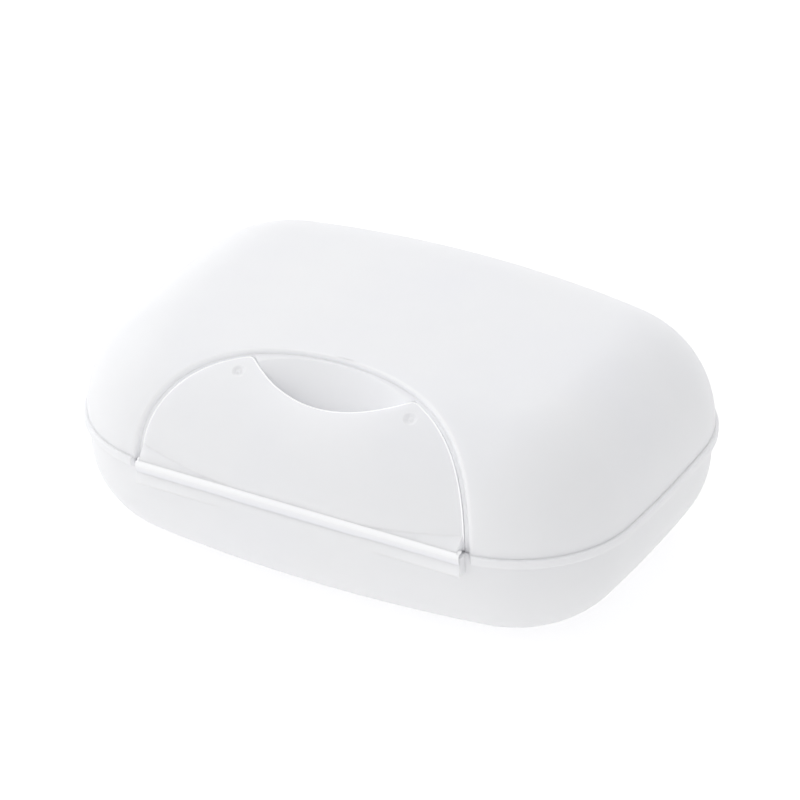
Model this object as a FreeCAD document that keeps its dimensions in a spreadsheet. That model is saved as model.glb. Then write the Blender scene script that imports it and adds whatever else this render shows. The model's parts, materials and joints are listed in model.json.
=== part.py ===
# Travel soap box of moulded plastic: a shallow rounded base, a domed lid on two rear hinge pins,
# an arched latch flap on a thin hinge strip at the front, and a slotted soap tray inside.
# Millimetres. The origin is the middle of the flat underside, +Z is up, +X runs along the
# length, and the latch flap faces -Y.
import FreeCAD, Part
import math
import os
import Sketcher

# Driving dimensions, in millimetres and degrees

# Outline seen from above, over the lid's rim band
LID_LENGTH = 114.0  # length over the rim band
LID_WIDTH = 83.0  # width over the rim band
CORNER_RADIUS = 24.5  # corner of the rim band's outline
SIDE_BOW = 240.0  # radius of the bowed long sides
END_BOW = 300.0  # radius of the bowed short sides

# Lid
TOTAL_HEIGHT = 45.0  # underside to the middle of the crown
CROWN_RADIUS = 600.0  # radius of the gently crowned top
SHOULDER_RADIUS = 20.8  # rounding between the crown and the walls
LID_WALL = 1.4  # wall of the lid
RIM_PROUD = 0.7  # how far the rim band stands out from the dome
RIM_BAND = 1.8  # height of the rim band
RIM_EDGE = 0.4  # rounding of the rim band's edges

# Base
EDGE_HEIGHT = 20.8  # underside to the lid's lower edge
RIM_LAP = 1.5  # how far the base's rim reaches up into the lid
LID_OVERHANG = 1.2  # rim band to the outside of the base
SKIRT_GAP = 0.25  # clearance between the base's rim and the lid's rim band
SEAT_GAP = 0.05  # clearance between the base's rim and the lid's seat
BASE_WALL = 1.4  # wall of the base
BASE_FLOOR = 1.6  # floor of the base
BASE_ROUND = 17.0  # outside rounding between the underside and the walls

# Latch flap and the arched recess that it lies in
ARCH_RADIUS = 44.9  # arch of the recess, seen from above
ARCH_DEPTH = 20.4  # top of the arch behind the front of the rim band
FLAP_GAP = 0.8  # gap between the flap's edge and the recess
FLAP_INSET = 0.6  # flap's outside under the dome's surface
FLAP_WALL = 1.1  # wall of the flap
LEDGE_DEPTH = 0.95  # depth of the ledge that edges the recess
LEDGE_WIDTH = 0.6  # width of that ledge
RECESS_DEPTH = 4.3  # depth of the recess under the dome's surface
SCOOP_RADIUS = 24.7  # scooped cut in the flap's top edge, seen from above
SCOOP_LOW = 9.6  # lowest point of the scoop behind the front of the rim band
HORN_ROUND = 1.8  # rounding of the two horns beside the scoop
WELL_PLAY = 0.3  # finger well inside the flap's scoop
WELL_TOP = 1.2  # start of the finger well's slope under the crown
WELL_DEPTH = 9.5  # foot of the finger well's slope under the crown
WELL_SLOPE = 46.0  # steepness of the finger well's slope, in degrees
SNAP_OFFSET = 18.0  # snap marks from the middle of the flap
SNAP_ANGLE = 61.4  # place of the snap marks round the shoulder, in degrees
SNAP_RADIUS = 2.4  # ball that dents a snap mark into the outside
SNAP_DEPTH = 0.4  # depth of a snap mark
PIP_RADIUS = 0.9  # ball of the snap pip on the flap's inside

# Front hinge: a straight rail on the base, a foot on the flap and a thin web round their gap
HINGE_SETBACK = 1.0  # hinge line behind the middle of the dome's front
CREASE_GAP = 0.6  # gap between the rail and the flap's foot
WEB_THICK = 0.35  # thickness of the hinge web
RAIL_LENGTH = 68.0  # length of the hinge rail
RAIL_THICK = 2.3  # depth of the hinge rail
RAIL_HEIGHT = 4.0  # height of the hinge rail
FOOT_PLAY = 0.6  # flap's foot short of the rail at each end
FOOT_THICK = 2.4  # depth of the flap's foot
FOOT_HEIGHT = 0.5  # height of the flap's foot in front
FOOT_RISE = 3.2  # height of the flap's foot at its back
BEVEL_START = 0.8  # hinge line to the start of the bevels
BEVEL_RISE = 5.0  # hinge line to the end of the bevels
SILL_HEIGHT = 1.5  # thickness of the sill under the recess
SILL_REACH = 1.0  # how far the sill reaches under the recess's floor

# Rear hinge
HINGE_OFFSET = 24.0  # middle of a hinge from the middle of the box
KNUCKLE_RADIUS = 2.4  # outside radius of a hinge knuckle
KNUCKLE_LENGTH = 5.0  # length of a hinge knuckle
KNUCKLE_GAP = 0.3  # gap between two knuckles
KNUCKLE_CLEAR = 0.4  # knuckles to the rim band
ARM_HEIGHT = 2.9  # height of the base's hinge arms
ARM_CLEAR = 0.3  # base's hinge arms below the lid's edge
ARM_ROOT = 0.5  # root of a lid hinge arm inside the rim band
PIN_RADIUS = 1.0  # radius of a hinge pin
PIN_PLAY = 0.05  # clearance round a hinge pin

# Soap tray
TRAY_FOOT = 4.0  # height of the tray's feet
TRAY_PLATE = 1.6  # thickness of the tray's plate
TRAY_RIM = 2.0  # height of the tray's rim above its plate
TRAY_WALL = 1.4  # thickness of the tray's rim
TRAY_GAP = 0.5  # clearance between the tray and the base
FOOT_RADIUS = 2.2  # radius of a tray foot
FOOT_OFFSET_X = 28.0  # tray feet from the middle, along the length
FOOT_OFFSET_Y = 15.0  # tray feet from the middle, along the width
SLOT_WIDTH = 3.2  # width of a drain slot
SLOT_LENGTH = 34.0  # length of a drain slot
SLOT_PITCH = 8.0  # distance between drain slots
SLOT_COUNT = 9  # number of drain slots

V = FreeCAD.Vector
doc = FreeCAD.newDocument("TravelSoapBox")
sheet = doc.addObject("Spreadsheet::Sheet", "Sizes")


class Size:
    """A value of the sheet, or one worked out from several: its expression and its number."""

    def __init__(self, text, value):
        self.text = text
        self.value = value

    def joined(self, sign, other, value):
        right = other.text if isinstance(other, Size) else repr(other)
        return Size("(%s %s %s)" % (self.text, sign, right), value)

    def __add__(self, other):
        return self.joined("+", other, self.value + number(other))

    def __sub__(self, other):
        return self.joined("-", other, self.value - number(other))

    def __mul__(self, other):
        return self.joined("*", other, self.value * number(other))

    def __truediv__(self, other):
        return self.joined("/", other, self.value / number(other))

    def __neg__(self):
        return Size("(-1 * %s)" % self.text, -self.value)


def number(item):
    return item.value if isinstance(item, Size) else float(item)


def root(item):
    return Size("sqrt(%s)" % item.text, math.sqrt(item.value))


def cosine(item):
    return Size("cos(%s * 1 deg)" % item.text, math.cos(math.radians(item.value)))


def sine(item):
    return Size("sin(%s * 1 deg)" % item.text, math.sin(math.radians(item.value)))


rows = []


def given(name, value):
    """Writes one driving dimension into the sheet and returns it."""
    row = len(rows) + 1
    rows.append(name)
    sheet.set("A%d" % row, name)
    sheet.set("B%d" % row, str(value))
    sheet.setAlias("B%d" % row, name)
    return Size("Sizes." + name, float(value))


# The same dimensions as cells of the sheet

# Outline seen from above, over the lid's rim band
lid_length = given("lid_length", LID_LENGTH)
lid_width = given("lid_width", LID_WIDTH)
corner_radius = given("corner_radius", CORNER_RADIUS)
side_bow = given("side_bow", SIDE_BOW)
end_bow = given("end_bow", END_BOW)

# Lid
total_height = given("total_height", TOTAL_HEIGHT)
crown_radius = given("crown_radius", CROWN_RADIUS)
shoulder_radius = given("shoulder_radius", SHOULDER_RADIUS)
lid_wall = given("lid_wall", LID_WALL)
rim_proud = given("rim_proud", RIM_PROUD)
rim_band = given("rim_band", RIM_BAND)
rim_edge = given("rim_edge", RIM_EDGE)

# Base
edge_height = given("edge_height", EDGE_HEIGHT)
rim_lap = given("rim_lap", RIM_LAP)
lid_overhang = given("lid_overhang", LID_OVERHANG)
skirt_gap = given("skirt_gap", SKIRT_GAP)
seat_gap = given("seat_gap", SEAT_GAP)
base_wall = given("base_wall", BASE_WALL)
base_floor = given("base_floor", BASE_FLOOR)
base_round = given("base_round", BASE_ROUND)

# Latch flap and the arched recess that it lies in
arch_radius = given("arch_radius", ARCH_RADIUS)
arch_depth = given("arch_depth", ARCH_DEPTH)
flap_gap = given("flap_gap", FLAP_GAP)
flap_inset = given("flap_inset", FLAP_INSET)
flap_wall = given("flap_wall", FLAP_WALL)
ledge_depth = given("ledge_depth", LEDGE_DEPTH)
ledge_width = given("ledge_width", LEDGE_WIDTH)
recess_depth = given("recess_depth", RECESS_DEPTH)
scoop_radius = given("scoop_radius", SCOOP_RADIUS)
scoop_low = given("scoop_low", SCOOP_LOW)
horn_round = given("horn_round", HORN_ROUND)
well_play = given("well_play", WELL_PLAY)
well_top = given("well_top", WELL_TOP)
well_depth = given("well_depth", WELL_DEPTH)
well_slope = given("well_slope", WELL_SLOPE)
snap_offset = given("snap_offset", SNAP_OFFSET)
snap_angle = given("snap_angle", SNAP_ANGLE)
snap_radius = given("snap_radius", SNAP_RADIUS)
snap_depth = given("snap_depth", SNAP_DEPTH)
pip_radius = given("pip_radius", PIP_RADIUS)

# Front hinge
hinge_setback = given("hinge_setback", HINGE_SETBACK)
crease_gap = given("crease_gap", CREASE_GAP)
web_thick = given("web_thick", WEB_THICK)
rail_length = given("rail_length", RAIL_LENGTH)
rail_thick = given("rail_thick", RAIL_THICK)
rail_height = given("rail_height", RAIL_HEIGHT)
foot_play = given("foot_play", FOOT_PLAY)
foot_thick = given("foot_thick", FOOT_THICK)
foot_height = given("foot_height", FOOT_HEIGHT)
foot_rise = given("foot_rise", FOOT_RISE)
bevel_start = given("bevel_start", BEVEL_START)
bevel_rise = given("bevel_rise", BEVEL_RISE)
sill_height = given("sill_height", SILL_HEIGHT)
sill_reach = given("sill_reach", SILL_REACH)

# Rear hinge
hinge_offset = given("hinge_offset", HINGE_OFFSET)
knuckle_radius = given("knuckle_radius", KNUCKLE_RADIUS)
knuckle_length = given("knuckle_length", KNUCKLE_LENGTH)
knuckle_gap = given("knuckle_gap", KNUCKLE_GAP)
knuckle_clear = given("knuckle_clear", KNUCKLE_CLEAR)
arm_height = given("arm_height", ARM_HEIGHT)
arm_clear = given("arm_clear", ARM_CLEAR)
arm_root = given("arm_root", ARM_ROOT)
pin_radius = given("pin_radius", PIN_RADIUS)
pin_play = given("pin_play", PIN_PLAY)

# Soap tray
tray_foot = given("tray_foot", TRAY_FOOT)
tray_plate = given("tray_plate", TRAY_PLATE)
tray_rim = given("tray_rim", TRAY_RIM)
tray_wall = given("tray_wall", TRAY_WALL)
tray_gap = given("tray_gap", TRAY_GAP)
foot_radius = given("foot_radius", FOOT_RADIUS)
foot_offset_x = given("foot_offset_x", FOOT_OFFSET_X)
foot_offset_y = given("foot_offset_y", FOOT_OFFSET_Y)
slot_width = given("slot_width", SLOT_WIDTH)
slot_length = given("slot_length", SLOT_LENGTH)
slot_pitch = given("slot_pitch", SLOT_PITCH)
slot_count = given("slot_count", SLOT_COUNT)

doc.recompute()

# Places worked out from the driving dimensions
half_length = lid_length / 2
half_width = lid_width / 2
rim_top = edge_height + rim_lap
seat_height = rim_top + seat_gap
band_top = edge_height + rim_band
above = total_height + shoulder_radius
below = edge_height - rim_lap
shoulder_y = half_width - rim_proud - shoulder_radius
shoulder_z = total_height - shoulder_radius - shoulder_y * shoulder_y / (crown_radius * 2)
arch_y = half_width - arch_depth + arch_radius
scoop_y = half_width - scoop_low - scoop_radius
latch_y = half_width - rim_proud - hinge_setback
latch_z = rim_top + crease_gap / 2
flap_low = rim_top + crease_gap
lid_axis_y = half_width + knuckle_clear + knuckle_radius
lid_axis_z = edge_height
base_in = base_round - base_wall
zero = Size("0", 0.0)


def bind(item, **values):
    """Binds properties to expressions; two underscores in a name stand for a dot."""
    for name, value in values.items():
        item.setExpression(name.replace("__", "."), value.text)


def make(kind, name, **values):
    item = doc.addObject(kind, name)
    bind(item, **values)
    return item


def place(item, x, y, z):
    bind(item, Placement__Base__x=x, Placement__Base__y=y, Placement__Base__z=z)
    return item


def box(name, x, y, z, length, width, height):
    item = make("Part::Box", name, Length=length, Width=width, Height=height)
    return place(item, x, y, z)


def upright(name, x, y, z, radius, height):
    item = make("Part::Cylinder", name, Radius=radius, Height=height)
    return place(item, x, y, z)


def rod(name, x, y, z, radius, length):
    """A cylinder that starts at x and runs along +X."""
    item = make("Part::Cylinder", name, Radius=radius, Height=length)
    item.Placement = FreeCAD.Placement(V(0, 0, 0), FreeCAD.Rotation(V(0, 1, 0), 90))
    return place(item, x, y, z)


def funnel(name, x, y, z, low_radius, high_radius, height):
    item = make("Part::Cone", name, Radius1=low_radius, Radius2=high_radius, Height=height)
    return place(item, x, y, z)


def ball(name, x, y, z, radius):
    item = make("Part::Sphere", name, Radius=radius)
    return place(item, x, y, z)


def cut(name, base, tool):
    item = doc.addObject("Part::Cut", name)
    item.Base = base
    item.Tool = tool
    return item


def common(name, base, tool):
    item = doc.addObject("Part::Common", name)
    item.Base = base
    item.Tool = tool
    return item


def fuse(name, *shapes):
    item = doc.addObject("Part::MultiFuse", name)
    item.Shapes = list(shapes)
    return item


def new_sketch(body, name, role, offset=None):
    """A sketch on one of the body's own origin planes, lifted off it by the offset."""
    sketch = body.newObject("Sketcher::SketchObject", name)
    plane = [item for item in body.Origin.OriginFeatures if item.Role == role][0]
    sketch.AttachmentSupport = [(plane, "")]
    sketch.MapMode = "FlatFace"
    if offset is not None:
        bind(sketch, AttachmentOffset__Base__z=offset)
    return sketch


def limit(sketch, name, constraint, size):
    """Adds a constraint with a value, and binds the value to the sheet."""
    index = sketch.addConstraint(constraint)
    sketch.renameConstraint(index, name)
    sketch.setExpression("Constraints." + name, size.text)


def hold(sketch, name, part, point, across, along):
    """Fixes a point of the sketch by its two distances from the sketch's origin."""
    for kind, axis, size in (("DistanceX", -2, across), ("DistanceY", -1, along)):
        if size.value == 0:
            sketch.addConstraint(Sketcher.Constraint("PointOnObject", part, point, axis))
        elif size.value > 0:
            rule = Sketcher.Constraint(kind, -1, 1, part, point, size.value)
            limit(sketch, name + kind, rule, size)
        else:
            rule = Sketcher.Constraint(kind, part, point, -1, 1, -size.value)
            limit(sketch, name + kind, rule, -size)


def cushion(body, name, inset, height):
    """A rounded rectangle with bowed sides, eight tangent arcs, inset from the rim's outline."""
    sketch = new_sketch(body, name, "XY_Plane", height)
    side = side_bow - inset
    end = end_bow - inset
    corner = corner_radius - inset
    side_back = side_bow - half_width
    end_back = end_bow - half_length
    # The corner arc touches both bows from inside, so its centre is where two circles cross
    from_side = V(0, -side_back.value, 0)
    from_end = V(-end_back.value, 0, 0)
    between = from_end - from_side
    far = between.Length
    reach_side = side.value - corner.value
    reach_end = end.value - corner.value
    along = (reach_side ** 2 - reach_end ** 2 + far ** 2) / (2 * far)
    across = math.sqrt(reach_side ** 2 - along ** 2)
    unit = between / far
    centre = from_side + unit * along + V(-unit.y, unit.x, 0) * across
    if centre.x < 0:
        centre = from_side + unit * along - V(-unit.y, unit.x, 0) * across
    turn_end = math.atan2(centre.y - from_end.y, centre.x - from_end.x)
    turn_side = math.atan2(centre.y - from_side.y, centre.x - from_side.x)
    full = 2 * math.pi
    arcs = [
        (from_end, end, -turn_end, turn_end),
        (centre, corner, turn_end, turn_side),
        (from_side, side, turn_side, math.pi - turn_side),
        (V(-centre.x, centre.y, 0), corner, math.pi - turn_side, math.pi - turn_end),
        (-from_end, end, math.pi - turn_end, math.pi + turn_end),
        (-centre, corner, math.pi + turn_end, math.pi + turn_side),
        (-from_side, side, math.pi + turn_side, full - turn_side),
        (V(centre.x, -centre.y, 0), corner, full - turn_side, full - turn_end),
    ]
    for middle, radius, first, last in arcs:
        circle = Part.Circle(middle, V(0, 0, 1), radius.value)
        sketch.addGeometry(Part.ArcOfCircle(circle, first, last))
    for index in range(8):
        sketch.addConstraint(Sketcher.Constraint("Tangent", index, 2, (index + 1) % 8, 1))
    for index, (middle, radius, first, last) in enumerate(arcs):
        rule = Sketcher.Constraint("Radius", index, radius.value)
        limit(sketch, "radius%d" % index, rule, radius)
    hold(sketch, "rear", 2, 3, zero, -side_back)
    hold(sketch, "front", 6, 3, zero, side_back)
    hold(sketch, "right", 0, 3, -end_back, zero)
    hold(sketch, "left", 4, 3, end_back, zero)
    return sketch


def outline(body, name, role, points, offset=None):
    """A closed sketch of straight lines through the points."""
    sketch = new_sketch(body, name, role, offset)
    spots = [V(across.value, along.value, 0) for across, along in points]
    for index, spot in enumerate(spots):
        sketch.addGeometry(Part.LineSegment(spot, spots[(index + 1) % len(spots)]))
    for index, (across, along) in enumerate(points):
        last = (index - 1) % len(points)
        sketch.addConstraint(Sketcher.Constraint("Coincident", last, 2, index, 1))
        hold(sketch, "corner%d" % index, index, 1, across, along)
    return sketch


def pad(body, name, sketch, length):
    item = body.newObject("PartDesign::Pad", name)
    item.Profile = sketch
    bind(item, Length=length)
    return item


def loop_names(shape, wanted):
    """Names of the edges between two faces that the test picks."""
    names = []
    for index, edge in enumerate(shape.Edges, start=1):
        if len(shape.ancestorsOfType(edge, Part.Face)) == 2 and wanted(edge.BoundBox):
            names.append("Edge%d" % index)
    return names


def round_off(body, name, base, radius, wanted):
    doc.recompute()
    item = body.newObject("PartDesign::Fillet", name)
    item.Base = (base, loop_names(base.Shape, wanted))
    bind(item, Radius=radius)
    body.Tip = item
    return item


def slab(name, inset, low, high):
    """An upright slab with the cushion outline, between two heights."""
    body = doc.addObject("PartDesign::Body", name)
    pad(body, name + "Pad", cushion(body, name + "Outline", inset, low), high - low)
    return body


def dome(name, depth):
    """The lid's domed form, drawn down to the ground, at a depth under the dome's surface."""
    body = doc.addObject("PartDesign::Body", name)
    inset = rim_proud + depth
    blank = pad(body, name + "Pad", cushion(body, name + "Outline", inset, zero), above)
    top = total_height - depth
    bend = crown_radius - depth
    wide = half_length + half_width
    fall = bend - root(bend * bend - wide * wide)
    sketch = new_sketch(body, name + "Crown", "XZ_Plane")
    circle = Part.Circle(V(0, top.value - bend.value, 0), V(0, 0, 1), bend.value)
    start = math.acos(wide.value / bend.value)
    sketch.addGeometry(Part.ArcOfCircle(circle, start, math.pi / 2))
    corners = [(zero, top), (zero, above), (wide, above), (wide, top - fall)]
    spots = [V(across.value, along.value, 0) for across, along in corners]
    for first, last in zip(spots, spots[1:]):
        sketch.addGeometry(Part.LineSegment(first, last))
    for index in range(4):
        rule = Sketcher.Constraint("Coincident", index, 2, (index + 1) % 4, 1)
        sketch.addConstraint(rule)
    rule = Sketcher.Constraint("PointOnObject", 0, 3, -2)
    sketch.addConstraint(rule)
    limit(sketch, "bend", Sketcher.Constraint("Radius", 0, bend.value), bend)
    hold(sketch, "crest", 0, 2, zero, top)
    hold(sketch, "peak", 2, 1, zero, above)
    hold(sketch, "rim", 3, 1, wide, above)
    sketch.addConstraint(Sketcher.Constraint("Vertical", 3))
    doc.recompute()
    groove = body.newObject("PartDesign::Groove", name + "Groove")
    groove.Profile = sketch
    groove.ReferenceAxis = (sketch, ["V_Axis"])
    groove.Angle = 360
    doc.recompute()
    if groove.Shape.Volume >= blank.Shape.Volume:
        raise RuntimeError(name + ": the crown cut nothing")
    round_off(body, name + "Shoulder", groove, shoulder_radius - depth, lambda edge: edge.ZMin > 1)
    return body


def bowl(name, inset, low, rounding):
    """A form that is rounded at the bottom and open upwards past the rim."""
    body = doc.addObject("PartDesign::Body", name)
    blank = pad(body, name + "Pad", cushion(body, name + "Outline", inset, low), rim_top - low)
    foot = low.value + 1
    round_off(body, name + "Round", blank, rounding, lambda edge: edge.ZMax < foot)
    return body


def bevel(name, sign):
    """A wedge in front of the hinge line that opens upwards (+1) or downwards (-1)."""
    body = doc.addObject("PartDesign::Body", name)
    away = hinge_setback * 3
    rise = bevel_start + (bevel_rise - bevel_start) * 3
    start = latch_z + bevel_start * sign
    stop = latch_z + rise * sign
    middle = latch_z - crease_gap * sign
    points = [(-latch_y, middle), (-latch_y, start), (-latch_y - away, stop), (-latch_y - away, middle)]
    if sign < 0:
        points.reverse()
    sketch = outline(body, name + "Outline", "YZ_Plane", points, -rail_length / 2)
    pad(body, name + "Pad", sketch, rail_length)
    return body


# Base shell: bowl, hinge rail and sill at the front, two hinge stations at the rear
base_out = bowl("BaseOut", lid_overhang, zero, base_round)
base_well = bowl("BaseWell", lid_overhang + base_wall, base_floor, base_in)
rail = box("Rail", -rail_length / 2, -latch_y, rim_top - rail_height, rail_length, rail_thick, rail_height)

station = knuckle_length * 3 + knuckle_gap * 2
rear_wall = half_width - lid_overhang - base_wall - hinge_offset * hinge_offset / side_bow
arm_top = edge_height - arm_clear
base_hinges = []
lid_hinges = []
base_bores = []
lid_bores = []
pins = []
for side, middle in (("left", -hinge_offset), ("right", hinge_offset)):
    start = middle - station / 2
    for index in range(3):
        here = start + (knuckle_length + knuckle_gap) * index
        name = "%s%d" % (side, index)
        knuckle = rod("Knuckle" + name, here, lid_axis_y, lid_axis_z, knuckle_radius, knuckle_length)
        if index == 1:
            root_y = half_width - hinge_offset * hinge_offset / (side_bow * 2) - arm_root
            arm = box("Arm" + name, here, root_y, lid_axis_z, knuckle_length, lid_axis_y - root_y, rim_band)
            lid_hinges += [knuckle, arm]
        else:
            low = arm_top - arm_height
            arm = box("Arm" + name, here, rear_wall, low, knuckle_length, lid_axis_y - rear_wall, arm_height)
            base_hinges += [knuckle, arm]
    bore = pin_radius + pin_play
    base_bores.append(rod("BaseBore" + side, start, lid_axis_y, lid_axis_z, bore, station))
    lid_bores.append(rod("LidBore" + side, start, lid_axis_y, lid_axis_z, bore, station))
    pins.append(rod("Pin" + side, start, lid_axis_y, lid_axis_z, pin_radius, station))

sill_out = slab("SillOut", lid_overhang + base_wall / 2, rim_top - sill_height, rim_top)
sill_in = slab("SillIn", rim_proud + recess_depth + sill_reach, rim_top - sill_height * 2, above)
sill_arch = upright("SillArch", zero, -arch_y, zero, arch_radius, above)
sill = common("Sill", cut("SillRing", sill_out, sill_in), sill_arch)

base_blank = fuse("BaseBlank", base_out, rail, *base_hinges)
base_open = cut("BaseOpen", base_blank, base_well)
base_tools = fuse("BaseTools", bevel("BaseBevel", -1), *base_bores)
base_shell = cut("BaseShell", fuse("BaseWhole", base_open, sill), base_tools)
base_shell.Label = "base_shell"

# Lid shell: dome and rim band, less the hollow and the recess with its finger well
dome_out = dome("DomeOut", zero)
dome_in = dome("DomeIn", lid_wall)
ledge_floor = dome("LedgeFloor", ledge_depth)
floor_out = dome("FloorOut", recess_depth)
floor_in = dome("FloorIn", recess_depth + lid_wall)

band = doc.addObject("PartDesign::Body", "Band")
band_pad = pad(band, "BandPad", cushion(band, "BandOutline", zero, edge_height), rim_band)
round_off(band, "BandEdges", band_pad, rim_edge, lambda edge: edge.ZLength < rim_edge.value)

skirt_in = slab("SkirtIn", lid_overhang - skirt_gap, below, seat_height)
arch_out = upright("ArchOut", zero, -arch_y, below, arch_radius, above)
arch_deep = upright("ArchDeep", zero, -arch_y, below, arch_radius - ledge_width, above)
arch_in = upright("ArchIn", zero, -arch_y, below, arch_radius + lid_wall, above)

# Finger well: the scoop's plan, with a slope that falls from the ledge under the flap's edge
well_rise = well_depth - well_top
well_foot = total_height - well_depth
well_high = arch_radius - ledge_width
well_run = cosine(well_slope) / sine(well_slope)
well_low = well_high - well_rise * well_run
shift = lid_wall / sine(well_slope) - lid_wall * well_run
thumb_radius = scoop_radius - well_play
thumb = upright("Thumb", zero, -scoop_y, below, thumb_radius, above)
thumb_in = upright("ThumbIn", zero, -scoop_y, below, thumb_radius + lid_wall, above)
slope = funnel("Slope", zero, -arch_y, well_foot, well_low, well_high, well_rise)
slope_low = well_low + shift
slope_high = slope_low + (well_rise + lid_wall) * well_run
slope_in = funnel("SlopeIn", zero, -arch_y, well_foot - lid_wall, slope_low, slope_high, well_rise + lid_wall)
well_out = common("WellOut", thumb, slope)
well_in = common("WellIn", thumb_in, slope_in)
well_bank = cut("WellBank", thumb, slope)

ground = box("Ground", -lid_length, -lid_width, zero, lid_length * 2, lid_width * 2, edge_height)
lid_blank = fuse("LidBlank", cut("DomeAbove", dome_out, ground), band, *lid_hinges)
ledge = cut("Ledge", arch_out, ledge_floor)
recess = cut("Recess", cut("RecessSpace", arch_deep, floor_out), well_bank)
pocket_wall = cut("PocketWall", arch_in, floor_in)
hollow = cut("Hollow", cut("HollowDome", dome_in, pocket_wall), well_in)
lid_tools = fuse("LidTools", ledge, recess, well_out, hollow, skirt_in, *lid_bores)
lid_shell = cut("LidShell", lid_blank, lid_tools)
lid_shell.Label = "lid_shell"

# Latch flap: a piece of the dome inside the arch, with a scooped top edge and a hinge foot
def disc(body, name, y, radius, height):
    """A sketched circle on the middle plane of the box, seen from above."""
    sketch = new_sketch(body, name, "XY_Plane", height)
    sketch.addGeometry(Part.Circle(V(0, y.value, 0), V(0, 0, 1), radius.value))
    limit(sketch, "radius", Sketcher.Constraint("Radius", 0, radius.value), radius)
    hold(sketch, "centre", 0, 3, zero, y)
    return sketch


def pocket(body, name, sketch, length):
    """A pocket that cuts upwards from its sketch."""
    doc.recompute()
    before = body.Shape.Volume
    item = body.newObject("PartDesign::Pocket", name)
    item.Profile = sketch
    item.Reversed = True
    bind(item, Length=length)
    doc.recompute()
    if item.Shape.Volume >= before:
        raise RuntimeError(name + ": the pocket cut nothing")
    return item


plan = doc.addObject("PartDesign::Body", "FlapPlan")
plan_disc = disc(plan, "FlapPlanArch", -arch_y, arch_radius - flap_gap, flap_low)
pad(plan, "FlapPlanPad", plan_disc, above - flap_low)
scoop_disc = disc(plan, "FlapPlanScoop", -scoop_y, scoop_radius, flap_low)
scoop = pocket(plan, "FlapPlanPocket", scoop_disc, above - flap_low)
round_off(plan, "FlapPlanHorns", scoop, horn_round, lambda edge: edge.ZLength > 1)

flap_out = dome("FlapOut", flap_inset)
flap_in = dome("FlapIn", flap_inset + flap_wall)
flap_skin = cut("FlapSkin", common("FlapPiece", flap_out, plan), flap_in)
foot_length = rail_length - foot_play * 2
foot = doc.addObject("PartDesign::Body", "FlapFoot")
foot_back = foot_thick - latch_y
foot_corners = [
    (-latch_y, flap_low),
    (foot_back, flap_low),
    (foot_back, flap_low + foot_rise),
    (-latch_y, flap_low + foot_height),
]
foot_sketch = outline(foot, "FlapFootOutline", "YZ_Plane", foot_corners, -foot_length / 2)
pad(foot, "FlapFootPad", foot_sketch, foot_length)
marks = []
pips = []
for side, middle in (("left", -snap_offset), ("right", snap_offset)):
    from_y = -shoulder_y + snap_offset * snap_offset / (side_bow * 2)
    from_z = shoulder_z - snap_offset * snap_offset / (crown_radius * 2)
    out = shoulder_radius - flap_inset + snap_radius - snap_depth
    inner = shoulder_radius - flap_inset - flap_wall
    mark_y = from_y - out * cosine(snap_angle)
    mark_z = from_z + out * sine(snap_angle)
    marks.append(ball("Mark" + side, middle, mark_y, mark_z, snap_radius))
    pip_y = from_y - inner * cosine(snap_angle)
    pip_z = from_z + inner * sine(snap_angle)
    pips.append(ball("Pip" + side, middle, pip_y, pip_z, pip_radius))
flap_tools = fuse("FlapTools", bevel("FlapBevel", 1), *marks)
flap_cut = cut("FlapCut", fuse("FlapWhole", flap_skin, foot), flap_tools)
latch_flap = fuse("LatchFlap", flap_cut, *pips)
latch_flap.Label = "latch_flap"

# Hinge web: half a thin tube round the gap between the rail and the flap's foot
web = doc.addObject("PartDesign::Body", "HingeWeb")
web_sketch = new_sketch(web, "HingeWebOutline", "YZ_Plane", -foot_length / 2)
web_in = crease_gap / 2
web_out = web_in + web_thick
axis_spot = V(-latch_y.value, latch_z.value, 0)
for radius in (web_in, web_out):
    circle = Part.Circle(axis_spot, V(0, 0, 1), radius.value)
    web_sketch.addGeometry(Part.ArcOfCircle(circle, math.pi / 2, 3 * math.pi / 2))
for sign in (1, -1):
    near = axis_spot + V(0, web_in.value * sign, 0)
    far = axis_spot + V(0, web_out.value * sign, 0)
    web_sketch.addGeometry(Part.LineSegment(near, far))
hold(web_sketch, "inner", 0, 3, -latch_y, latch_z)
web_sketch.addConstraint(Sketcher.Constraint("Coincident", 0, 3, 1, 3))
limit(web_sketch, "innerRadius", Sketcher.Constraint("Radius", 0, web_in.value), web_in)
limit(web_sketch, "outerRadius", Sketcher.Constraint("Radius", 1, web_out.value), web_out)
for line, point in ((2, 1), (3, 2)):
    web_sketch.addConstraint(Sketcher.Constraint("Coincident", 0, point, line, 1))
    web_sketch.addConstraint(Sketcher.Constraint("Coincident", 1, point, line, 2))
    web_sketch.addConstraint(Sketcher.Constraint("Vertical", line))
pad(web, "HingeWebPad", web_sketch, foot_length)
web.Label = "latch_hinge_web"

# Hinge pins
for side, pin in zip(("left", "right"), pins):
    pin.Label = "hinge_pin_" + side

# Soap tray: a plate with a rim and drain slots, on four feet
tray_low = base_floor + tray_foot
lean = base_in - tray_foot
tray_inset = lid_overhang + base_wall + base_in - root(base_in * base_in - lean * lean) + tray_gap
tray = doc.addObject("PartDesign::Body", "Tray")
tray_sketch = cushion(tray, "TrayOutline", tray_inset, tray_low)
pad(tray, "TrayPad", tray_sketch, tray_plate + tray_rim)
dish_sketch = cushion(tray, "TrayDish", tray_inset + tray_wall, tray_low + tray_plate)
pocket(tray, "TrayDishPocket", dish_sketch, tray_rim)

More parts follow.
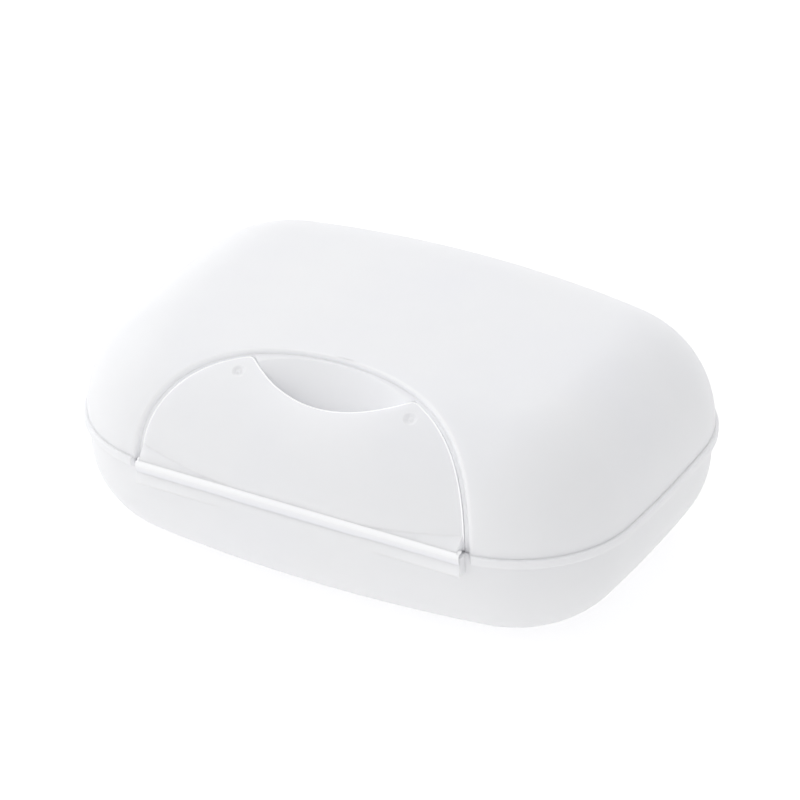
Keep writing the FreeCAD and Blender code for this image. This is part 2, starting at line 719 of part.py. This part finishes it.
slot_sketch = new_sketch(tray, "TraySlot", "XY_Plane", tray_low)
slot_round = slot_width / 2
slot_end = slot_length / 2 - slot_round
first_slot = -slot_pitch * (slot_count - 1) / 2
for sign, first in ((1, 0), (-1, math.pi)):
    spot = V(first_slot.value, slot_end.value * sign, 0)
    circle = Part.Circle(spot, V(0, 0, 1), slot_round.value)
    slot_sketch.addGeometry(Part.ArcOfCircle(circle, first, first + math.pi))
for sign in (-1, 1):
    here = V(first_slot.value + slot_round.value * sign, 0, 0)
    reach = V(0, slot_end.value * sign, 0)
    slot_sketch.addGeometry(Part.LineSegment(here - reach, here + reach))
hold(slot_sketch, "top", 0, 3, first_slot, slot_end)
hold(slot_sketch, "low", 1, 3, first_slot, -slot_end)
limit(slot_sketch, "width", Sketcher.Constraint("Radius", 0, slot_round.value), slot_round)
for start, line, stop in ((0, 2, 1), (1, 3, 0)):
    slot_sketch.addConstraint(Sketcher.Constraint("Tangent", start, 2, line, 1))
    slot_sketch.addConstraint(Sketcher.Constraint("Tangent", line, 2, stop, 1))
slot = pocket(tray, "TraySlotPocket", slot_sketch, tray_plate)
slots = tray.newObject("PartDesign::LinearPattern", "TraySlots")
slots.Originals = [slot]
slots.Direction = (slot_sketch, ["H_Axis"])
bind(slots, Length=slot_pitch * (slot_count - 1), Occurrences=slot_count)
tray.Tip = slots
feet = []
for x_sign in (-1, 1):
    for y_sign in (-1, 1):
        name = "TrayFoot%d" % len(feet)
        spot = (foot_offset_x * x_sign, foot_offset_y * y_sign, base_floor)
        feet.append(upright(name, *spot, foot_radius, tray_foot + tray_plate / 2))
drain_tray = fuse("DrainTray", tray, *feet)
drain_tray.Label = "drain_tray"

doc.recompute()

# Checks before anything is written
for item in doc.Objects:
    if "Invalid" in item.State or "Error" in item.State:
        raise RuntimeError(item.Name + " failed: " + str(item.State))
nodes = [base_shell, lid_shell, latch_flap, web, drain_tray] + pins
for node in nodes:
    if node.Shape.isNull() or not node.Shape.isValid():
        raise RuntimeError(node.Label + " has no valid shape")
    if len(node.Shape.Solids) != 1:
        raise RuntimeError(node.Label + " has %d solids" % len(node.Shape.Solids))

os.makedirs("parts", exist_ok=True)
for node in nodes:
    node.Shape.exportStep(os.path.join("parts", node.Label + ".step"))
    reach = node.Shape.BoundBox
    print("%-16s volume %8.1f  x %6.1f..%5.1f  y %6.1f..%5.1f  z %5.1f..%5.1f" % (
        node.Label, node.Shape.Volume, reach.XMin, reach.XMax, reach.YMin, reach.YMax,
        reach.ZMin, reach.ZMax))
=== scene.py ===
# %% [markdown]
# # A travel soap box of frosted plastic
# The real object is a small moulded box: a shallow base, a domed lid, a latch flap that lies flush in
# an arched recess, and a slotted tray inside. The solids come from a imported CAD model, so this lesson
# is about looks: soft edges, a milky plastic that lets light through, and a bright studio.

import json
import math

import bmesh
import bpy
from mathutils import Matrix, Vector

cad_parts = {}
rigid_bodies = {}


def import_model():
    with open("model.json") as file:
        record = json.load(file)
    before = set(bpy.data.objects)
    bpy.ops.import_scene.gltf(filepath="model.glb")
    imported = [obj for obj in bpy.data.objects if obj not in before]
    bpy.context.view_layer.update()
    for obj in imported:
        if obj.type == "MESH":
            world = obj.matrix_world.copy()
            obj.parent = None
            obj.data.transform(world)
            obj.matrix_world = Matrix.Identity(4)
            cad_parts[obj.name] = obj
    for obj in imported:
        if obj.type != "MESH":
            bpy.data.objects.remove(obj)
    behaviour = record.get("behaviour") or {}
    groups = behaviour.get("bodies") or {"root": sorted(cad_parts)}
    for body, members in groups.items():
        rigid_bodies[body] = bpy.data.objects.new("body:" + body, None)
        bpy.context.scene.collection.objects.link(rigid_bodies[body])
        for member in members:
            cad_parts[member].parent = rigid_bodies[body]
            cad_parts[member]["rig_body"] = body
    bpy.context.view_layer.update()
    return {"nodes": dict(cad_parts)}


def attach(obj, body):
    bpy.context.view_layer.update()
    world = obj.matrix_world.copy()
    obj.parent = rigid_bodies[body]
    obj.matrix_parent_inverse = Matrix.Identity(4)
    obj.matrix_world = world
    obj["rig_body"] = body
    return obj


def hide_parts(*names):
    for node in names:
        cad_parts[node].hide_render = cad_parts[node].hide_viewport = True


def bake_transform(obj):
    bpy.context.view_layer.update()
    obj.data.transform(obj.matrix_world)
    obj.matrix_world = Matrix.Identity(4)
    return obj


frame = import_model()
MM = 0.001

# %% [markdown]
# ## Camera
# A long lens from a metre away, above the front right corner, as a product photograph is taken. The
# angles came from fitting the box's outline to the picture. The lens shift only centres the box.

# %% Camera
PICTURE_SIDE = 800
FOCAL_PIXELS = 5198.7
SENSOR_MM = 36.0
AZIMUTH = math.radians(28.8)
ELEVATION = math.radians(30.73)
DISTANCE = 977 * MM
AIM = Vector((0, 0, 22 * MM))
SHIFT_PIXELS = (-0.54, 14.5)

towards_camera = Vector((
    math.sin(AZIMUTH) * math.cos(ELEVATION),
    -math.cos(AZIMUTH) * math.cos(ELEVATION),
    math.sin(ELEVATION),
))
lens = bpy.data.cameras.new("camera")
lens.sensor_width = SENSOR_MM
lens.lens = SENSOR_MM * FOCAL_PIXELS / PICTURE_SIDE
lens.shift_x = SHIFT_PIXELS[0] / PICTURE_SIDE
lens.shift_y = SHIFT_PIXELS[1] / PICTURE_SIDE
lens.clip_start = 0.05
lens.clip_end = 20
camera = bpy.data.objects.new("camera", lens)
camera.location = AIM + towards_camera * DISTANCE
camera.rotation_euler = towards_camera.to_track_quat("Z", "Y").to_euler()
bpy.context.scene.collection.objects.link(camera)
bpy.context.scene.camera = camera
print("camera: lens %.1f mm" % lens.lens)

# %% [markdown]
# ## Frosted plastic
# The shells are milky polypropylene about a millimetre thick. Light goes in, scatters and comes out
# elsewhere, so the walls glow softly and nothing inside shows clearly. A subsurface shader does that.
# Moulded edges are rounded by a fraction of a millimetre and look paler, because light reaches them
# from two sides. A Bevel node finds those edges and rounds their shading, and near them it mixes in a
# lighter tint, a painted highlight that stands in for that light.

# %% Node helpers and the frosted shell
def new_finish(name):
    finish = bpy.data.materials.new(name)
    finish.use_nodes = True
    shader = finish.node_tree.nodes["Principled BSDF"]
    return finish, finish.node_tree, shader


def wire(tree, source, target):
    tree.links.new(source, target)


def noise(tree, place, scale, detail):
    field = tree.nodes.new("ShaderNodeTexNoise")
    field.inputs["Scale"].default_value = scale
    field.inputs["Detail"].default_value = detail
    wire(tree, place.outputs["Object"], field.inputs["Vector"])
    return field.outputs["Fac"]


def ramp(tree, source, low, high, low_colour, high_colour):
    blend = tree.nodes.new("ShaderNodeValToRGB")
    first, last = blend.color_ramp.elements
    first.position, last.position = low, high
    first.color, last.color = (*low_colour, 1), (*high_colour, 1)
    wire(tree, source, blend.inputs["Fac"])
    return blend.outputs["Color"]


def spread(tree, source, low, high, to_low, to_high):
    scaler = tree.nodes.new("ShaderNodeMapRange")
    for name, value in zip(("From Min", "From Max", "To Min", "To Max"), (low, high, to_low, to_high)):
        scaler.inputs[name].default_value = value
    wire(tree, source, scaler.inputs["Value"])
    return scaler.outputs["Result"]


def edge_finder(tree, radius):
    """Rounded shading near edges, and how far it turns away from the plain surface."""
    rounded = tree.nodes.new("ShaderNodeBevel")
    rounded.samples = 6
    rounded.inputs["Radius"].default_value = radius
    surface = tree.nodes.new("ShaderNodeNewGeometry")
    agree = tree.nodes.new("ShaderNodeVectorMath")
    agree.operation = "DOT_PRODUCT"
    wire(tree, rounded.outputs["Normal"], agree.inputs[0])
    wire(tree, surface.outputs["Normal"], agree.inputs[1])
    return rounded.outputs["Normal"], spread(tree, agree.outputs["Value"], 0.995, 0.90, 0, 1)


def frosted_plastic(name, tint, deep_tint, edge_highlight_tint, edge_radius, depth, milk_share=0.85):
    finish, tree, shader = new_finish(name)
    place = tree.nodes.new("ShaderNodeTexCoord")
    milk = ramp(tree, noise(tree, place, 38, 3), 0.3, 0.7, deep_tint, tint)
    round_normal, edge = edge_finder(tree, edge_radius)
    # Painted highlight: near rounded edges the colour turns lighter, standing in for light reaching them from two
    # sides
    edge_highlight = tree.nodes.new("ShaderNodeMix")
    edge_highlight.data_type = "RGBA"
    edge_highlight.inputs["B"].default_value = (*edge_highlight_tint, 1)
    wire(tree, edge, edge_highlight.inputs["Factor"])
    wire(tree, milk, edge_highlight.inputs["A"])
    wire(tree, edge_highlight.outputs["Result"], shader.inputs["Base Color"])
    grain = noise(tree, place, 2600, 2)
    wire(tree, spread(tree, grain, 0, 1, 0.36, 0.46), shader.inputs["Roughness"])
    bump = tree.nodes.new("ShaderNodeBump")
    bump.inputs["Strength"].default_value = 0.06
    bump.inputs["Distance"].default_value = 0.02 * MM
    wire(tree, grain, bump.inputs["Height"])
    wire(tree, round_normal, bump.inputs["Normal"])
    wire(tree, bump.outputs["Normal"], shader.inputs["Normal"])
    shader.inputs["IOR"].default_value = 1.49
    shader.inputs["Subsurface Weight"].default_value = milk_share
    shader.inputs["Subsurface Radius"].default_value = (1.0, 1.0, 1.0)
    shader.inputs["Subsurface Scale"].default_value = depth
    return finish


EDGE_ROUND = 0.4 * MM
frosted = frosted_plastic(
    "milky_shell", (0.928, 0.928, 0.958), (0.90, 0.902, 0.938), (0.985, 0.985, 0.99), EDGE_ROUND, 1.2 * MM)
print("finish:", frosted.name)

# %% [markdown]
# ## Shells
# A CAD mesh is loose triangles. Each moulding is a copy with its corners merged, so that its faces can
# be shaded smoothly, with creases kept where two faces meet at a real edge. That keeps every curve of
# the solid, which was fitted to the picture, and costs nothing in accuracy.

# %% Merged copies of the mouldings
CREASE = math.radians(28)


def merged_copy(node, name):
    source = frame["nodes"][node].data
    mesh = bpy.data.meshes.new(name)
    corners = [vertex.co[:] for vertex in source.vertices]
    faces = [face.vertices[:] for face in source.polygons]
    mesh.from_pydata(corners, [], faces)
    form = bmesh.new()
    form.from_mesh(mesh)
    bmesh.ops.remove_doubles(form, verts=form.verts, dist=1e-6)
    bmesh.ops.dissolve_degenerate(form, edges=form.edges, dist=1e-7)
    for face in form.faces:
        face.smooth = True
    for edge in form.edges:
        edge.smooth = edge.is_manifold and edge.calc_face_angle(0) < CREASE
    form.to_mesh(mesh)
    form.free()
    piece = bpy.data.objects.new(name, mesh)
    bpy.context.scene.collection.objects.link(piece)
    return piece


def mould(node, name, finish):
    """A merged copy that takes the node's place, rides on its body and wears the finish."""
    piece = merged_copy(node, name)
    piece.data.materials.append(finish)
    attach(piece, frame["nodes"][node]["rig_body"])
    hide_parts(node)
    print(name, len(piece.data.vertices), "corners", len(piece.data.polygons), "faces")
    return piece


base_moulding = mould("base_shell", "base_moulding", frosted)
lid_moulding = mould("lid_shell", "lid_moulding", frosted)
latch_moulding = mould("latch_flap", "latch_moulding", frosted)

# %% [markdown]
# ## Rounded lips
# The lid's arched edge and the latch's outline are rounded off in the mould, and that lip catches the
# light as a pale line. In the solid these edges are sharp. Both are found by their place, the lid's by
# its distance from the arch's centre, and bevelled in the mesh. The new faces get a lighter colour, a
# painted highlight for the light that the lip catches.

# %% Rounded lips of the arch and the latch
ARCH_CENTRE = Vector((0, -66.0 * MM))
ARCH_RADIUS = 44.9 * MM
OUTWARD = Vector((0, -0.7, 0.7))

# Its lighter colour is a painted highlight for the light that a rounded lip catches
lip_highlight_paint = frosted_plastic(
    "lip_highlight_paint", (0.95, 0.95, 0.972), (0.935, 0.937, 0.958), (0.985, 0.985, 0.99), EDGE_ROUND, 0.9 * MM)


def soften(piece, wanted, width):
    piece.data.materials.append(lip_highlight_paint)
    form = bmesh.new()
    form.from_mesh(piece.data)
    convex = [edge for edge in form.edges if edge.is_convex and edge.calc_face_angle(0) > CREASE]
    sharp = [edge for edge in convex if wanted(edge)]
    made = bmesh.ops.bevel(form, geom=sharp, offset=width, offset_type="OFFSET", segments=4, profile=0.5,
                           affect="EDGES", clamp_overlap=False, material=1)
    for face in made["faces"]:
        face.smooth = True
    for edge in form.edges:
        edge.smooth = edge.is_manifold and edge.calc_face_angle(0) < CREASE
    form.to_mesh(piece.data)
    form.free()
    print(piece.name, "lip:", len(sharp), "edges,", len(made["faces"]), "new faces")


def on_arch(edge):
    away = [abs((corner.co.xy - ARCH_CENTRE).length - ARCH_RADIUS) for corner in edge.verts]
    return max(away) < 0.02 * MM and min(corner.co.z for corner in edge.verts) > 22.7 * MM


def on_latch_outline(edge):
    outside = [face for face in edge.link_faces if face.normal.dot(OUTWARD) > 0.25]
    upright = [face for face in edge.link_faces if abs(face.normal.z) < 0.02]
    low = min(corner.co.z for corner in edge.verts)
    return bool(outside) and bool(upright) and low > 24.0 * MM


soften(lid_moulding, on_arch, 0.45 * MM)
soften(latch_moulding, on_latch_outline, 0.35 * MM)

# %% [markdown]
# ## Light at the latch's edge
# Light that enters the milky latch runs along inside it and leaves at its cut edge, so that edge shows
# as a bright line even where a narrow slit keeps the room's light out. Paths that long are too costly to
# trace. A little emission on the edge's faces stands in for them: it is an approximation, the same from
# every side and in every pose.

# %% Edge of the latch
EDGE_GLOW = 0.22
LATCH_RADIUS = 44.1 * MM

lit_edge = frosted_plastic(
    "lit_edge", (0.975, 0.975, 0.985), (0.96, 0.963, 0.975), (0.985, 0.985, 0.99), EDGE_ROUND, 0.9 * MM)
lit_shader = lit_edge.node_tree.nodes["Principled BSDF"]
lit_shader.inputs["Emission Color"].default_value = (1, 1, 1, 1)
lit_shader.inputs["Emission Strength"].default_value = EDGE_GLOW



def on_cut_edge(face):
    """The latch's upright edge: all round its top, and further down only on the arch itself."""
    if abs(face.normal.z) > 0.02 or face.center.z < 23.4 * MM:
        return False
    off_arch = face.center.xy - ARCH_CENTRE
    faces_out = face.normal.xy.dot(off_arch.normalized()) > 0.9
    return face.center.z > 38 * MM or (faces_out and abs(off_arch.length - LATCH_RADIUS) < 0.3 * MM)


latch_moulding.data.materials.append(lit_edge)
lit_faces = 0
for face in latch_moulding.data.polygons:
    if face.material_index == 1 or on_cut_edge(face):
        face.material_index = 2
        lit_faces += 1
print("latch edge:", lit_faces, "faces")

# %% Ends of the hinge rail
RAIL_END = 33.9 * MM
# The rail's end faces take the lip's lighter colour too, a painted highlight
base_moulding.data.materials.append(lip_highlight_paint)
rail_faces = 0
for face in base_moulding.data.polygons:
    if abs(face.normal.x) > 0.9 and abs(face.center.x) > RAIL_END and face.center.y < -36 * MM:
        face.material_index = 1
        rail_faces += 1
print("rail ends:", rail_faces, "faces")

# %% [markdown]
# ## Hinge strip
# The latch folds on a living hinge: a thin strip that whitens where it has been bent. It swells a
# little out of the wall, steeply above and gently below, and its upper slope shows as a bright line.
# It could be a swept bead, but a bead leaves a dark groove where it meets the walls. Geometry Nodes lay
# a grid against the latch and the base instead, with rays from the front, and push it out by the swell.
# Its colour is whitest at the fold, partly stress whitening and partly a painted highlight, and fades
# into the base's colour below, by height, with a faint painted glow there, a trace of the latch's edge light.

# %% Hinge strip laid on the latch and the base
STRIP_LENGTH = 67.8 * MM
STRIP_TOP = 23.5 * MM
STRIP_LOW = 20.4 * MM
STRIP_SWELL = 0.5 * MM
STRIP_SINK = 0.06 * MM
STRIP_THICK = 0.3 * MM
SWELL_PEAK = 0.32
STRIP_BACK = -39.2 * MM
HINGE_Y = -39.8 * MM
WHITE_FROM = 20.9 * MM
WHITE_TO = 22.5 * MM
PAINTED_GLOW_FROM = 22.1 * MM
PAINTED_GLOW_TO = 22.7 * MM
CREASE_PAINTED_GLOW = 0.06

whitened_and_highlit = frosted_plastic(
    "whitened_highlit_strip", (0.985, 0.985, 0.985), (0.97, 0.972, 0.978), (0.99, 0.99, 0.99), 0.1 * MM, 0.8 * MM,
    milk_share=0.0)


def fade_below(finish, tint, low, high):
    """Turns the finish's colour into `tint` below, between two heights in the piece's own coordinates."""
    tree = finish.node_tree
    colour = tree.nodes["Principled BSDF"].inputs["Base Color"]
    place = tree.nodes.new("ShaderNodeTexCoord")
    spot = tree.nodes.new("ShaderNodeSeparateXYZ")
    wire(tree, place.outputs["Object"], spot.inputs["Vector"])
    fade = tree.nodes.new("ShaderNodeMix")
    fade.data_type = "RGBA"
    fade.inputs["A"].default_value = (*tint, 1)
    wire(tree, spread(tree, spot.outputs["Z"], low, high, 0, 1), fade.inputs["Factor"])
    wire(tree, colour.links[0].from_socket, fade.inputs["B"])
    wire(tree, fade.outputs["Result"], colour)
    return spot.outputs["Z"]


# Whiter from WHITE_FROM up: partly stress whitening, partly a painted highlight along the fold
strip_height = fade_below(whitened_and_highlit, (0.915, 0.915, 0.946), WHITE_FROM, WHITE_TO)
strip_shader = whitened_and_highlit.node_tree.nodes["Principled BSDF"]
strip_shader.inputs["Emission Color"].default_value = (1, 1, 1, 1)
# A faint painted glow along the fold, standing in for the latch's edge light
strip_painted_glow = spread(whitened_and_highlit.node_tree, strip_height, PAINTED_GLOW_FROM, PAINTED_GLOW_TO, 0, CREASE_PAINTED_GLOW)
wire(whitened_and_highlit.node_tree, strip_painted_glow, strip_shader.inputs["Emission Strength"])


def strip_tree(wall, finish):
    tree = bpy.data.node_groups.new("hinge_strip", "GeometryNodeTree")
    tree.interface.new_socket("Geometry", in_out="OUTPUT", socket_type="NodeSocketGeometry")
    for title in ("Length", "Top", "Low", "Swell", "Sink", "Peak", "Back"):
        tree.interface.new_socket(title, in_out="INPUT", socket_type="NodeSocketFloat")
    add = tree.nodes.new
    size = add("NodeGroupInput").outputs

    def sum_of(kind, first, second):
        node = add("ShaderNodeMath")
        node.operation = kind
        for index, item in enumerate((first, second)):
            if isinstance(item, (int, float)):
                node.inputs[index].default_value = item
            else:
                wire(tree, item, node.inputs[index])
        return node.outputs["Value"]

    def eased(source, low, high, to_low, to_high):
        node = add("ShaderNodeMapRange")
        node.interpolation_type = "SMOOTHSTEP"
        for title, item in (("Value", source), ("From Min", low), ("From Max", high)):
            if isinstance(item, (int, float)):
                node.inputs[title].default_value = item
            else:
                wire(tree, item, node.inputs[title])
        node.inputs["To Min"].default_value = to_low
        node.inputs["To Max"].default_value = to_high
        return node.outputs["Result"]

    def vector(x=None, y=None, z=None, y_value=0.0):
        node = add("ShaderNodeCombineXYZ")
        node.inputs["Y"].default_value = y_value
        for title, item in (("X", x), ("Y", y), ("Z", z)):
            if item is not None:
                wire(tree, item, node.inputs[title])
        return node.outputs["Vector"]

    grid = add("GeometryNodeMeshGrid")
    grid.inputs["Size Y"].default_value = 1
    grid.inputs["Vertices X"].default_value = 121
    grid.inputs["Vertices Y"].default_value = 25
    wire(tree, size["Length"], grid.inputs["Size X"])
    spot = add("ShaderNodeSeparateXYZ")
    wire(tree, add("GeometryNodeInputPosition").outputs["Position"], spot.inputs["Vector"])
    down = sum_of("SUBTRACT", 0.5, spot.outputs["Y"])
    fall = sum_of("MULTIPLY", down, sum_of("SUBTRACT", size["Low"], size["Top"]))
    height = sum_of("ADD", size["Top"], fall)
    ray = add("GeometryNodeRaycast")
    source = add("GeometryNodeObjectInfo")
    source.inputs["Object"].default_value = wall
    wire(tree, source.outputs["Geometry"], ray.inputs["Target Geometry"])
    wire(tree, vector(x=spot.outputs["X"], z=height, y_value=-0.06), ray.inputs["Source Position"])
    ray.inputs["Ray Direction"].default_value = (0, 1, 0)
    ray.inputs["Ray Length"].default_value = 0.1
    hit = add("ShaderNodeSeparateXYZ")
    wire(tree, ray.outputs["Hit Position"], hit.inputs["Vector"])
    rise = eased(down, 0, size["Peak"], 0, 1)
    ebb = eased(down, size["Peak"], 1, 1, 0)
    swell = sum_of("MULTIPLY", sum_of("MULTIPLY", rise, ebb), size["Swell"])
    # Where a ray meets nothing, or goes deep into the crease, the strip stays near the front
    wall_y = sum_of("MINIMUM", hit.outputs["Y"], size["Back"])
    out = sum_of("SUBTRACT", wall_y, sum_of("SUBTRACT", swell, size["Sink"]))
    move = add("GeometryNodeSetPosition")
    wire(tree, grid.outputs["Mesh"], move.inputs["Geometry"])
    wire(tree, vector(x=spot.outputs["X"], y=out, z=height), move.inputs["Position"])
    real = add("GeometryNodeRealizeInstances")
    wire(tree, move.outputs["Geometry"], real.inputs["Geometry"])
    coat = add("GeometryNodeSetMaterial")
    coat.inputs["Material"].default_value = finish
    wire(tree, real.outputs["Geometry"], coat.inputs["Geometry"])
    wire(tree, coat.outputs["Geometry"], add("NodeGroupOutput").inputs["Geometry"])
    return tree


def grown(name, tree, **sizes):
    """Runs a node tree with the given sizes and returns its result as a plain mesh object."""
    seed = bpy.data.objects.new(name + "_seed", bpy.data.meshes.new(name + "_seed"))
    bpy.context.scene.collection.objects.link(seed)
    modifier = seed.modifiers.new("grow", "NODES")
    modifier.node_group = tree
    for socket in tree.interface.items_tree:
        if socket.item_type == "SOCKET" and socket.in_out == "INPUT" and socket.name in sizes:
            modifier[socket.identifier] = sizes[socket.name]
    depsgraph = bpy.context.evaluated_depsgraph_get()
    mesh = bpy.data.meshes.new_from_object(seed.evaluated_get(depsgraph))
    mesh.name = name
    bpy.data.objects.remove(seed)
    piece = bpy.data.objects.new(name, mesh)
    bpy.context.scene.collection.objects.link(piece)
    return piece


def both_walls():
    """The latch and the base as one plain mesh, for the rays to meet."""
    form = bmesh.new()
    for piece in (base_moulding, latch_moulding):
        form.from_mesh(piece.data)
    # A flat patch bridges the open crease between them
    half = STRIP_LENGTH / 2 + MM
    rows = [[form.verts.new((x, HINGE_Y, z * MM)) for x in (-half, half)] for z in (22.2, 23.0)]
    form.faces.new((rows[0][0], rows[0][1], rows[1][1], rows[1][0]))
    mesh = bpy.data.meshes.new("wall_for_rays")
    form.to_mesh(mesh)
    form.free()
    wall = bpy.data.objects.new("wall_for_rays", mesh)
    bpy.context.scene.collection.objects.link(wall)
    return wall


wall = both_walls()
hinge_strip = grown("hinge_strip", strip_tree(wall, whitened_and_highlit), Length=STRIP_LENGTH, Top=STRIP_TOP,
                    Low=STRIP_LOW, Swell=STRIP_SWELL, Sink=STRIP_SINK, Peak=SWELL_PEAK, Back=STRIP_BACK)
bpy.data.objects.remove(wall)

# %% The strip gets its thickness
form = bmesh.new()
form.from_mesh(hinge_strip.data)
for face in form.faces:
    if face.normal.y > 0:
        face.normal_flip()
front = list(form.faces)
back = bmesh.ops.duplicate(form, geom=form.verts[:] + form.edges[:] + front)
for item in back["geom"]:
    if isinstance(item, bmesh.types.BMVert):
        item.co.y += STRIP_THICK
    elif isinstance(item, bmesh.types.BMFace):
        item.normal_flip()
rims = [edge for edge in form.edges if edge.is_boundary]
bmesh.ops.bridge_loops(form, edges=rims)
bmesh.ops.recalc_face_normals(form, faces=form.faces)
for face in form.faces:
    face.smooth = True
for edge in form.edges:
    edge.smooth = edge.calc_face_angle(0) < CREASE
form.to_mesh(hinge_strip.data)
form.free()
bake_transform(hinge_strip)
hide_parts("latch_hinge_web")
ahead = min(corner.co.y for corner in hinge_strip.data.vertices)
print("hinge strip:", len(hinge_strip.data.polygons), "faces, foremost at y %.2f mm" % (ahead / MM))

# %% [markdown]
# ## Soap tray and hinge pins
# The tray is plain white polypropylene, the shells' frosted recipe in a warmer, slightly darker white. The pins
# are cut from drawn wire, so their fine scratches run along their length: noise stretched along X.

# %% Tray and pins
tray_white = frosted_plastic(
    "plain_white_tray", (0.90, 0.90, 0.89), (0.87, 0.87, 0.86), (0.95, 0.95, 0.94), EDGE_ROUND, 0.5 * MM)
mould("drain_tray", "soap_tray", tray_white)


def drawn_wire(name):
    finish, tree, shader = new_finish(name)
    place = tree.nodes.new("ShaderNodeTexCoord")
    along = tree.nodes.new("ShaderNodeMapping")
    along.inputs["Scale"].default_value = (60, 4000, 4000)
    wire(tree, place.outputs["Object"], along.inputs["Vector"])
    scratch = tree.nodes.new("ShaderNodeTexNoise")
    scratch.inputs["Scale"].default_value = 1
    scratch.inputs["Detail"].default_value = 4
    wire(tree, along.outputs["Vector"], scratch.inputs["Vector"])
    steel = ramp(tree, scratch.outputs["Fac"], 0.3, 0.7, (0.52, 0.52, 0.53), (0.68, 0.68, 0.69))
    wire(tree, steel, shader.inputs["Base Color"])
    wire(tree, spread(tree, scratch.outputs["Fac"], 0.3, 0.7, 0.22, 0.38), shader.inputs["Roughness"])
    bump = tree.nodes.new("ShaderNodeBump")
    bump.inputs["Strength"].default_value = 0.15
    bump.inputs["Distance"].default_value = 0.01 * MM
    wire(tree, scratch.outputs["Fac"], bump.inputs["Height"])
    wire(tree, bump.outputs["Normal"], shader.inputs["Normal"])
    shader.inputs["Metallic"].default_value = 1.0
    return finish


steel = drawn_wire("drawn_pin_wire")
for side in ("left", "right"):
    pin = frame["nodes"]["hinge_pin_" + side]
    pin.data.materials.clear()
    pin.data.materials.append(steel)
print("finishes:", tray_white.name, steel.name)

# %% [markdown]
# ## Studio
# The picture was taken in something like a light tent: soft light from everywhere, a little stronger
# from the left and from above. A world whose brightness changes evenly with direction gives just that.
# To the camera, to reflections and through glass the backdrop is plain white.

# %% Light tent
scene = bpy.context.scene
scene.view_settings.view_transform = "Standard"

EVEN_LIGHT = 0.875
LIGHT_SIDE = (-0.36, 0.06, 0.10)

world = bpy.data.worlds.new("light_tent")
scene.world = world
world.use_nodes = True
tent = world.node_tree
cloth = tent.nodes["Background"]
cloth.inputs["Color"].default_value = (0.98, 0.985, 1.0, 1)
where = tent.nodes.new("ShaderNodeTexCoord")
facing = tent.nodes.new("ShaderNodeVectorMath")
facing.operation = "DOT_PRODUCT"
facing.inputs[1].default_value = LIGHT_SIDE
wire(tent, where.outputs["Generated"], facing.inputs[0])
wire(tent, spread(tent, facing.outputs["Value"], -1, 1, EVEN_LIGHT - 1, EVEN_LIGHT + 1), cloth.inputs["Strength"])
white = tent.nodes.new("ShaderNodeBackground")
white.inputs["Color"].default_value = (1, 1, 1, 1)


def seen_directly(tree):
    """One where a ray comes from the camera, a reflection or glass."""
    ray = tree.nodes.new("ShaderNodeLightPath")
    total = ray.outputs["Is Camera Ray"]
    for kind in ("Is Glossy Ray", "Is Transmission Ray"):
        either = tree.nodes.new("ShaderNodeMath")
        either.operation = "MAXIMUM"
        wire(tree, total, either.inputs[0])
        wire(tree, ray.outputs[kind], either.inputs[1])
        total = either.outputs["Value"]
    return total


backdrop = tent.nodes.new("ShaderNodeMixShader")
wire(tent, seen_directly(tent), backdrop.inputs["Fac"])
wire(tent, cloth.outputs["Background"], backdrop.inputs[1])
wire(tent, white.outputs["Background"], backdrop.inputs[2])
wire(tent, backdrop.outputs["Shader"], tent.nodes["World Output"].inputs["Surface"])
print("light tent: even light", EVEN_LIGHT, "and stronger towards", LIGHT_SIDE)

# %% [markdown]
# One wide, weak lamp at the upper left adds the soft highlight that runs over the left shoulder.

# %% Side lamp
LAMP_PLACE = Vector((-0.6, -0.05, 0.5))
lamp = bpy.data.lights.new("side_lamp", "AREA")
lamp.shape = "DISK"
lamp.size = 0.45
lamp.energy = 0.25
side_lamp = bpy.data.objects.new("side_lamp", lamp)
side_lamp.location = LAMP_PLACE
side_lamp.rotation_euler = (LAMP_PLACE - AIM).to_track_quat("Z", "Y").to_euler()
scene.collection.objects.link(side_lamp)
print("side lamp:", round(lamp.energy, 2), "W")

# %% [markdown]
# ## Floor
# The floor is white paper. Seen by the camera it glows just enough to be white, yet the part of its
# brightness that comes from the lamps still darkens under the box, so the box keeps a soft shadow.

# %% Floor
FLOOR_REACH = 3.0
floor_mesh = bpy.data.meshes.new("floor")
corners = [(x * FLOOR_REACH, y * FLOOR_REACH, -0.2 * MM) for x, y in ((-1, -1), (1, -1), (1, 1), (-1, 1))]
floor_mesh.from_pydata(corners, [], [(0, 1, 2, 3)])
floor = bpy.data.objects.new("floor", floor_mesh)
scene.collection.objects.link(floor)
paper, paper_tree, paper_shader = new_finish("floor_paper")
paper_shader.inputs["Base Color"].default_value = (0.5, 0.5, 0.5, 1)
paper_shader.inputs["Roughness"].default_value = 0.9
paper_shader.inputs["Emission Color"].default_value = (1, 1, 1, 1)
paper_glow = paper_tree.nodes.new("ShaderNodeMapRange")
paper_glow.inputs["To Min"].default_value = 0.45
paper_glow.inputs["To Max"].default_value = 0.62
wire(paper_tree, seen_directly(paper_tree), paper_glow.inputs["Value"])
wire(paper_tree, paper_glow.outputs["Result"], paper_shader.inputs["Emission Strength"])
floor_mesh.materials.append(paper)
print("floor:", FLOOR_REACH * 2, "m across")
